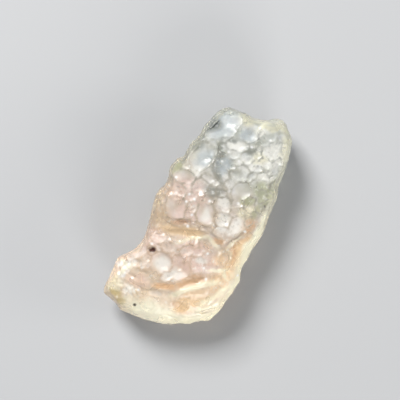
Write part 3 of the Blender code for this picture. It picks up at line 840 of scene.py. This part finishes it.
# %% [markdown]
# ## Masks for the finish
#
# The finish follows the form: frosted in the cups and clearer on the ridges, with painted shade on
# the ridges, in the grooves and on the steep left side, and a painted glow on the right rim. So each
# point keeps how far inside a cup it lies, and a few more numbers of that kind, as named attributes
# that the material reads. They belong to the mesh, and so the colours stay in place from any side.
#
# They could be painted onto the mesh too. Numbers that the carving made are never out of step
# with the form, and a cup that is moved takes its frost with it.

# %% Helpers for the masks
def spot_mask(x, y, spots, softness):
    """Round spots, 1 inside and 0 outside. An edge is as wide as softness times the radius."""
    mask = np.zeros(len(x))
    for cx, cy, radius in spots:
        away = np.hypot(x - cx, y - cy)
        mask = np.maximum(mask, np.clip((radius - away) / (radius * softness) + 0.5, 0, 1))
    return mask


def averaged(values, ends, count):
    """Each point's value averaged with those that it shares an edge with."""
    total = values.copy()
    number = np.ones(count)
    for here, there in (ends, ends[::-1]):
        total += np.bincount(here, values[there], count)
        number += np.bincount(here, minlength=count)
    return total / number


def keep_mask(name, values):
    attribute = skin.attributes.new(name, "FLOAT", "POINT")
    attribute.data.foreach_set("value", values.astype(np.float32))
    print(f"mask {name}: mean {values.mean():.2f}")


def share_between(values, none, full):
    """0 where a value is at none, 1 where it is at full, and straight between them."""
    return np.clip((values - none) / (full - none), 0, 1)


# %% Ridges: painted shade on what stands higher than its surroundings and in grooves, painted highlight on raised creases
RIDGE_RISE = 0.04
RIDGE_SHARPNESS = 0.012
BROAD_RIDGE_SHADE, SHARP_RIDGE_SHADE, GROOVE_SHADE = 0.18, 0.5, 0.45
AROUND_STEPS = 4
RIDGE_CLOUDS = (0.9, 1.6, 1.3)  # mean, strength and length of the noise that breaks ridges up
RIDGE_LIMITS = (0.15, 1.3)
CREASE_RISE = 0.15
GROOVE_FALL = 0.25

edge_ends = np.empty(len(skin.edges) * 2, np.int32)
skin.edges.foreach_get("vertices", edge_ends)
edge_ends = edge_ends.reshape(-1, 2).T
relief = averaged(-depth, edge_ends, len(points))
around = relief
for _ in range(AROUND_STEPS):
    around = averaged(around, edge_ends, len(points))
sharp = relief - averaged(relief, edge_ends, len(points))
ridge_shade = BROAD_RIDGE_SHADE * share_between(relief - around, 0, RIDGE_RISE)
ridge_shade += SHARP_RIDGE_SHADE * share_between(sharp, 0, RIDGE_SHARPNESS)
mean, strength, size = RIDGE_CLOUDS
ridge_shade *= np.clip(mean + strength * waves(points + 120, size), *RIDGE_LIMITS)
# The ridge shade is left off right of the toe, where the rim is painted with glow.
ridge_shade *= 1 - share_between(x, 0, 8) * share_between(y, 2, -4)  # the bright glass right of the toe
upper = share_between(facing_up, 0, 1 / 3)
# Painted highlight: raised creases are made pale, as where they catch the light.
painted_crease_highlight = share_between(creases, 0, CREASE_RISE)
groove_shade = GROOVE_SHADE * share_between(-creases, 0, GROOVE_FALL)
keep_mask("ridge_shade", np.maximum(ridge_shade * (1 - painted_crease_highlight), groove_shade) * upper)
keep_mask("painted_crease_highlight", painted_crease_highlight)

# %% Milk: the frosting in the cups, clouded unevenly
FROST = (0.45, 1.05)
FROST_SEED = 5
FROST_COUNT = 1000
BOWL_MILK, FILL_MILK = 0.9, 0.75
LEAST_MILK, CUP_MILK = 0.22, 0.6
CUP_FADE, OTHER_FADE = 3.2, 3
CLOUD_MEAN = 0.84
CLOUDS = ((1.1, 1.7), (1.0, 4.0))  # strength and length of the two cloud noises

frost = np.random.default_rng(FROST_SEED).uniform(*FROST, FROST_COUNT)
milk = np.clip(in_cup * CUP_FADE, 0, 1) * frost[cup_number]
milk = np.maximum(milk, BOWL_MILK * np.clip(in_bowl * OTHER_FADE, 0, 1))
milk = np.maximum(milk, FILL_MILK * np.clip(in_fill * OTHER_FADE, 0, 1) * frost[fill_number])
(small, small_size), (large, large_size) = CLOUDS
cloudy = CLOUD_MEAN + small * waves(points + 90, small_size)
cloudy += large * waves(points + 150, large_size)
keep_mask("milk", (LEAST_MILK + CUP_MILK * milk) * cloudy * upper)

# %% The painted glow on the right rim, the painted shade on the left side, and smooth places
# Painted glow: the right rim made pale, stronger towards the toe, as if light shone through it.
RIGHT_RIM = (2.66, 0.76)  # distances from the outline where the pale rim starts and is full
# Painted shade: the steep left side is darkened.
LEFT_RIM = (2.7, 0.9)
RIGHT_HALF, LEFT_HALF = (0, 6), (0, -4)
GLOW_AT_HEAD, GLOW_AT_TOE = 0.3, 0.95
HEAD_TO_TOE = (8, -2)
RIM_SLOPES = (-0.2, 0.3)
BOWL_CALM = 0.8

rim_away = outline_radius(np.arctan2(y - MIDDLE[1], x - MIDDLE[0]))
rim_away -= np.hypot(x - MIDDLE[0], y - MIDDLE[1])
glow_towards_toe = GLOW_AT_HEAD + (GLOW_AT_TOE - GLOW_AT_HEAD) * share_between(y, *HEAD_TO_TOE)
edge = share_between(rim_away, *RIGHT_RIM) * share_between(x, *RIGHT_HALF) * glow_towards_toe
keep_mask("painted_rim_glow", edge * share_between(facing_up, *RIM_SLOPES))
keep_mask("painted_left_shade", share_between(rim_away, *LEFT_RIM) * share_between(x, *LEFT_HALF))
calm = patch_mask(x, y, SMOOTH_PATCHES + SMOOTH_HOLLOWS)
keep_mask("smooth", np.maximum(calm, np.clip(in_bowl * 2, 0, BOWL_CALM)))

# %% Tints and spots, on what faces up
TINT_BEND = (2.6, 0.8)
TINT_SHIFT = 7
TINT_SLOPES = (-0.06, 0.34)  # a tint starts on what faces a little down and is full beyond this
PAINTED_GLINT_EDGE, RUST_EDGE, SPECK_EDGE = 0.8, 0.5, 0.6

strayed = bent(points + TINT_SHIFT, *TINT_BEND) - TINT_SHIFT
open_to_sky = share_between(facing_up, *TINT_SLOPES)
for name, (_, _, patches) in TINTS.items():
    keep_mask(name, patch_mask(strayed[:, 0], strayed[:, 1], patches) * open_to_sky)
painted_glints = [(*spot, PAINTED_GLINT_RADIUS) for spot in PAINTED_GLINTS]
keep_mask("painted_glint", spot_mask(x, y, painted_glints, PAINTED_GLINT_EDGE) * upper)
keep_mask("rust", spot_mask(x, y, RUST_PITS, RUST_EDGE) * (facing_up > 0))
keep_mask("speck", spot_mask(x, y, SPECKS, SPECK_EDGE) * (facing_up > 0))

# %% [markdown]
# ## The glass
#
# The stone is one material. Its body is see-through glass, a little yellow through its depth,
# which is what Volume Absorption gives. Its skin is etched, and so half of the light scatters from
# it. That could be a second shader, mixed in. Here it is the same Principled shader with a plain
# Transmission Weight of one half, because that exports as it looks.
#
# All the variety is in Base Color and Roughness, which read the masks.

# %% Helpers that read the masks
def add_node(tree, kind, **settings):
    node = tree.nodes.new(kind)
    for name, value in settings.items():
        setattr(node, name, value)
    return node


def feed(tree, value, socket):
    """Links another node's output to a socket, or sets a plain value on it."""
    if isinstance(value, bpy.types.NodeSocket):
        tree.links.new(value, socket)
    else:
        socket.default_value = value


def times(tree, mask, share):
    """A mask scaled down by a plain share, or held back by another mask."""
    node = add_node(tree, "ShaderNodeMath", operation="MULTIPLY")
    feed(tree, mask, node.inputs[0])
    feed(tree, share, node.inputs[1])
    return node.outputs[0]


def stored_mask(tree, name, share=1):
    """A stored mask. Below a share of 1, its tint never quite covers what lies under it."""
    mask = add_node(tree, "ShaderNodeAttribute", attribute_name=name).outputs["Fac"]
    return times(tree, mask, share)


print("masks can be read and combined")

# %% Helpers for colours and noises
def mix_colour(tree, factor, first, second):
    """Lays a second colour over the first, by a mask. Plain colours have four numbers."""
    node = add_node(tree, "ShaderNodeMix", data_type="RGBA")
    feed(tree, factor, node.inputs["Factor"])
    feed(tree, first, node.inputs[6])
    feed(tree, second, node.inputs[7])
    return node.outputs[2]


def map_range(tree, value, low, high, new_low, new_high):
    node = add_node(tree, "ShaderNodeMapRange")
    tree.links.new(value, node.inputs["Value"])
    # The four numbers come first among the sockets, in this order.
    for socket, number in zip(node.inputs[1:5], (low, high, new_low, new_high)):
        socket.default_value = number
    return node.outputs["Result"]


def noise_texture(tree, place, scale, detail, roughness=0.5):
    """A noise in the stone's own coordinates; scale counts its waves in a metre."""
    node = add_node(tree, "ShaderNodeTexNoise")
    node.inputs["Scale"].default_value = scale
    node.inputs["Detail"].default_value = detail
    node.inputs["Roughness"].default_value = roughness
    tree.links.new(place, node.inputs["Vector"])
    return node.outputs["Fac"]


print("colours can be mixed by a mask")

# %% [markdown]
# ## Colours along the stone
#
# The head is cool and grey, the toe pale and yellow. A colour ramp that runs along the stone gives
# that change. There are four: for the clear glass, the frosted glass, the painted shade on the steep
# left side, and the painted shade on the thin ridges and grooves, where the glass is also clearest.

# %% The colour ramps
HEAD_END, TOE_END = 22, -22


def ramp(tree, factor, stops):
    """A colour that changes along the stone, from its head (0) to its toe (1)."""
    node = add_node(tree, "ShaderNodeValToRGB")
    tree.links.new(factor, node.inputs[0])
    elements = node.color_ramp.elements
    for number, (place, colour) in enumerate(stops):
        position = (HEAD_END - place) / (HEAD_END - TOE_END)
        element = elements[number] if number < 2 else elements.new(position)
        element.position = position
        element.color = (*colour, 1)
    return node.outputs["Color"]


CLEAR_GLASS = [  # from the head to the toe: place along the stone in millimetres, colour
    (18, (0.46, 0.48, 0.42)), (10, (0.51, 0.51, 0.44)), (3, (0.61, 0.51, 0.41)),
    (-5, (0.61, 0.48, 0.36)), (-12, (0.70, 0.54, 0.40)), (-20, (0.84, 0.69, 0.52)),
]
MILKY_GLASS = [
    (18, (0.65, 0.67, 0.68)), (10, (0.67, 0.69, 0.69)), (3, (0.76, 0.70, 0.68)),
    (-5, (0.74, 0.63, 0.58)), (-12, (0.83, 0.71, 0.67)), (-20, (0.88, 0.80, 0.68)),
]
# Painted shade for the steep left side.
SHADED_SIDE_GLASS = [
    (18, (0.45, 0.46, 0.39)), (8, (0.47, 0.44, 0.35)), (-4, (0.57, 0.45, 0.32)),
    (-12, (0.75, 0.59, 0.46)), (-20, (0.77, 0.64, 0.49)),
]
# Painted shade for the ridges and grooves.
RIDGE_SHADE_GLASS = [
    (18, (0.30, 0.31, 0.29)), (6, (0.34, 0.32, 0.27)), (-2, (0.44, 0.35, 0.26)),
    (-12, (0.53, 0.38, 0.28)), (-20, (0.64, 0.52, 0.36)),
]
print("colours run from", HEAD_END, "to", TOE_END, "mm along the stone")

# %% [markdown]
# ## Colour in layers
#
# The colour is laid on as a painter would: first the glass itself, then broad clouds in it, then
# the tints, then fine flecks where the skin is rough, then painted shade on the ridges and grooves,
# and last the thin things that lie over all of them: a painted glow on the right rim, painted
# highlights on raised creases, painted glints, and rust and dark specks. Each layer is a Mix node
# with a mask.

# %% Clouds and flecks
CLOUD_NOISE = (170, 3)  # waves in a metre, detail
FLECK_NOISE = (1500, 4, 0.65)
LIGHT_CLOUD = (0.5, 0.72, 0.5, (0.82, 0.80, 0.75))  # noise from, noise to, strength, colour
DARK_CLOUD = (0.5, 0.28, 0.4, (0.42, 0.38, 0.31))
LIGHT_FLECK = (0.54, 0.72, 0.75, (0.95, 0.95, 0.91))
DARK_FLECK = (0.46, 0.28, 0.6, (0.31, 0.29, 0.25))
FLECKS_WHERE_SMOOTH = 0.2


def clouded(tree, place, body):
    """Broad soft clouds, lighter and darker, from one noise."""
    cloud = noise_texture(tree, place, *CLOUD_NOISE)
    for low, high, most, colour in (LIGHT_CLOUD, DARK_CLOUD):
        share = map_range(tree, cloud, low, high, 0, most)
        body = mix_colour(tree, share, body, (*colour, 1))
    return body


def flecked(tree, place, body):
    """Fine flecks of dust and etching, weaker where the skin is smooth."""
    fleck = noise_texture(tree, place, *FLECK_NOISE)
    smooth = stored_mask(tree, "smooth")
    rough_share = map_range(tree, smooth, 0, 1, 1, FLECKS_WHERE_SMOOTH)
    for low, high, most, colour in (LIGHT_FLECK, DARK_FLECK):
        flecks = map_range(tree, fleck, low, high, 0, most)
        body = mix_colour(tree, times(tree, flecks, rough_share), body, (*colour, 1))
    return body


print("clouds are", round(1000 / CLOUD_NOISE[0], 1), "mm long, flecks under a millimetre")

# %% All the layers of colour
MILK_SHARE = 0.85
SIDE_SHADE_SHARE = 0.85
# Painted light: the pale colour of the glow on the right rim and of the highlights on raised creases.
PAINTED_LIGHT_COLOUR = (1.0, 0.97, 0.74)
LAST_LAYERS = (  # mask, strength, colour
    ("painted_crease_highlight", 0.7, PAINTED_LIGHT_COLOUR),
    ("painted_rim_glow", 1, PAINTED_LIGHT_COLOUR),
    ("painted_glint", 1, (1, 1, 1)),
    ("rust", 1, (0.055, 0.012, 0.008)),
    ("speck", 1, (0.03, 0.028, 0.02)),
)


def stone_colour(tree, place, milk):
    """All the layers, from the glass itself up to the specks."""
    split = add_node(tree, "ShaderNodeSeparateXYZ")
    tree.links.new(place, split.inputs[0])
    along = map_range(tree, split.outputs["Y"], HEAD_END * MM, TOE_END * MM, 0, 1)
    body = mix_colour(tree, milk, ramp(tree, along, CLEAR_GLASS), ramp(tree, along, MILKY_GLASS))
    body = clouded(tree, place, body)
    side_shade = stored_mask(tree, "painted_left_shade", SIDE_SHADE_SHARE)
    body = mix_colour(tree, side_shade, body, ramp(tree, along, SHADED_SIDE_GLASS))
    for name, (colour, strength, _) in TINTS.items():
        body = mix_colour(tree, stored_mask(tree, name, strength), body, (*colour, 1))
    body = flecked(tree, place, body)
    body = mix_colour(tree, stored_mask(tree, "ridge_shade"), body, ramp(tree, along, RIDGE_SHADE_GLASS))
    for name, strength, colour in LAST_LAYERS:
        body = mix_colour(tree, stored_mask(tree, name, strength), body, (*colour, 1))
    return body


print("the colour has", len(TINTS), "tints and", len(LAST_LAYERS), "last layers")

# %% [markdown]
# ## The glass itself
#
# The index of refraction, the transmission and the absorption are plain values on their sockets.
# Natural silica glass bends light a little less than window glass does. Frost makes the cups
# rougher than the ridges, and a very fine bump breaks up the shine, as etching does.

# %% Build the glass
CLEAR_ROUGHNESS, FROSTED_ROUGHNESS = 0.22, 0.8
GRAIN_NOISE = (1900, 6)
GRAIN_STRENGTH = 0.25
GRAIN_DEPTH = 0.12
SILICA_IOR = 1.46
CLARITY = 0.5
DEPTH_COLOUR = (0.95, 0.93, 0.80, 1)
DEPTH_DENSITY = 60


def glass_material():
    material = bpy.data.materials.new("etched_desert_glass")
    material.use_nodes = True
    tree = material.node_tree
    shader = tree.nodes["Principled BSDF"]
    place = add_node(tree, "ShaderNodeTexCoord").outputs["Object"]
    milk = stored_mask(tree, "milk", MILK_SHARE)
    tree.links.new(stone_colour(tree, place, milk), shader.inputs["Base Color"])
    frosted = map_range(tree, milk, 0, 1, CLEAR_ROUGHNESS, FROSTED_ROUGHNESS)
    tree.links.new(frosted, shader.inputs["Roughness"])
    bump = add_node(tree, "ShaderNodeBump")
    bump.inputs["Strength"].default_value = GRAIN_STRENGTH
    bump.inputs["Distance"].default_value = GRAIN_DEPTH * MM
    tree.links.new(noise_texture(tree, place, *GRAIN_NOISE), bump.inputs["Height"])
    tree.links.new(bump.outputs["Normal"], shader.inputs["Normal"])
    shader.inputs["IOR"].default_value = SILICA_IOR
    shader.inputs["Transmission Weight"].default_value = CLARITY
    depths = add_node(tree, "ShaderNodeVolumeAbsorption")
    depths.inputs["Color"].default_value = DEPTH_COLOUR
    depths.inputs["Density"].default_value = DEPTH_DENSITY
    tree.links.new(depths.outputs["Volume"], tree.nodes["Material Output"].inputs["Volume"])
    return material


skin.materials.clear()
skin.materials.append(glass_material())
print("the glass has", len(skin.materials[0].node_tree.nodes), "nodes")

# %% [markdown]
# ## In place of the plain solid
#
# The skin becomes an object. It rides on the only body, stands for the plain solid and takes the
# slot of its finish. Smooth shading hides the single faces, which are smaller than the grain.

# %% Put the stone in place
stone = bpy.data.objects.new("etched_stone", skin)
bpy.context.scene.collection.objects.link(stone)
skin.shade_smooth()
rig.ride(stone, "root")
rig.replaces(stone, NODE)
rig.slot(stone, "desert_glass")
print("the stone has", sum(len(face.vertices) - 2 for face in skin.polygons), "triangles")

# %% [markdown]
# ## The table
#
# A plain pale table shows the stone's shadow and nothing else. It lies a hair below the foot, so
# that no two faces are in the same place. It isn't part of the stone, and so it is stage.

# %% The table
TABLE_SIZE = 2
TABLE_DEPTH = 0.00004
TABLE_COLOUR = (0.335, 0.339, 0.346, 1)
TABLE_ROUGHNESS = 0.7


def table():
    bpy.ops.mesh.primitive_plane_add(size=TABLE_SIZE, location=(0, 0, -TABLE_DEPTH))
    floor = bpy.context.object
    floor.name = "table"
    material = bpy.data.materials.new("pale_table")
    material.use_nodes = True
    shader = material.node_tree.nodes["Principled BSDF"]
    shader.inputs["Base Color"].default_value = TABLE_COLOUR
    shader.inputs["Roughness"].default_value = TABLE_ROUGHNESS
    floor.data.materials.append(material)
    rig.stage(floor)


table()
print("the table is", TABLE_SIZE, "m wide")

# %% [markdown]
# ## The lights
#
# Raking light shows relief, as on a coin. A soft window light at the upper left makes each cup
# darker on its upper left and brighter on its lower right. Two weaker ones, low down at the lower
# right and at the right, lift the shadows and give the far rims an edge. The sky fills in the rest.
# They are placed by what the camera sees, and so its turn comes first.

# %% The lights
CAMERA_ROLL = math.radians(30)
ACROSS = Vector((math.cos(CAMERA_ROLL), math.sin(CAMERA_ROLL), 0))
UPWARD = Vector((-math.sin(CAMERA_ROLL), math.cos(CAMERA_ROLL), 0))
LIGHTS = (  # name; across, upward and height in metres; size; power; colour
    ("window_light", -0.28, 0.50, 0.54, 0.30, 11.2, (1.0, 0.99, 0.98)),
    ("low_light", 0.20, -0.60, 0.20, 0.30, 4.4, (1.0, 0.98, 0.96)),
    ("side_light", 0.62, -0.06, 0.16, 0.24, 2.2, (1.0, 0.98, 0.94)),
)
SKY_COLOUR = (0.80, 0.86, 0.92, 1)
SKY_STRENGTH = 0.33


def soft_light(name, across, upward, height, size, power, colour):
    """An area light placed by what the camera sees: to its right, towards its top, and up."""
    lamp = bpy.data.lights.new(name, "AREA")
    lamp.size = size
    lamp.energy = power
    lamp.color = colour
    holder = bpy.data.objects.new(name, lamp)
    holder.location = ACROSS * across + UPWARD * upward + Vector((0, 0, height))
    holder.rotation_euler = (-holder.location).to_track_quat("-Z", "Y").to_euler()
    bpy.context.scene.collection.objects.link(holder)


for light in LIGHTS:
    soft_light(*light)
world = bpy.data.worlds.new("studio")
world.use_nodes = True
sky = world.node_tree.nodes["Background"]
sky.inputs["Color"].default_value = SKY_COLOUR
sky.inputs["Strength"].default_value = SKY_STRENGTH
bpy.context.scene.world = world
print(len(LIGHTS), "lights and a sky of strength", SKY_STRENGTH)

# %% [markdown]
# ## The camera
#
# The camera looks straight down, turned so that the head leans right. Its lens is worked out from
# the width that the picture has to show at the stone's widest line, so the stone keeps its size
# in the picture if the camera is raised.

# %% The camera
PICTURE_SIDE = 400
MM_PER_PIXEL = 0.198
SEEN_MIDDLE = (-3.25, 2.40)
CAMERA_HEIGHT = 0.32
SENSOR_WIDTH = 36
NEAREST_SEEN = 0.01

camera_data = bpy.data.cameras.new("camera")
camera_data.sensor_width = SENSOR_WIDTH
seen_width = PICTURE_SIDE * MM_PER_PIXEL * MM
plane = WIDEST * MM
camera_data.lens = SENSOR_WIDTH * (CAMERA_HEIGHT - plane) / seen_width
camera_data.clip_start = NEAREST_SEEN
camera = bpy.data.objects.new("camera", camera_data)
place = Matrix.Translation((SEEN_MIDDLE[0] * MM, SEEN_MIDDLE[1] * MM, CAMERA_HEIGHT))
turn = Matrix((ACROSS, UPWARD, (0, 0, 1))).transposed().to_4x4()
camera.matrix_world = place @ turn
bpy.context.scene.collection.objects.link(camera)
bpy.context.scene.camera = camera
bpy.context.scene.view_settings.view_transform = "Standard"
print("the lens is", round(camera_data.lens), "mm long")

# %% [markdown]
# ## Sizes, and the end
#
# The stone must be as large as the solid it stands for, or it wouldn't fit where the part is used.
# Both boxes are written down, so that they can be compared.

# %% Write both boxes and finish
with open("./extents.json", "w") as sizes:
    json.dump([[list(corner) for corner in CAD_BOX], [list(corner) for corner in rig.bounds()]], sizes)
print("size of the solid and of the stone:", open("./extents.json").read())
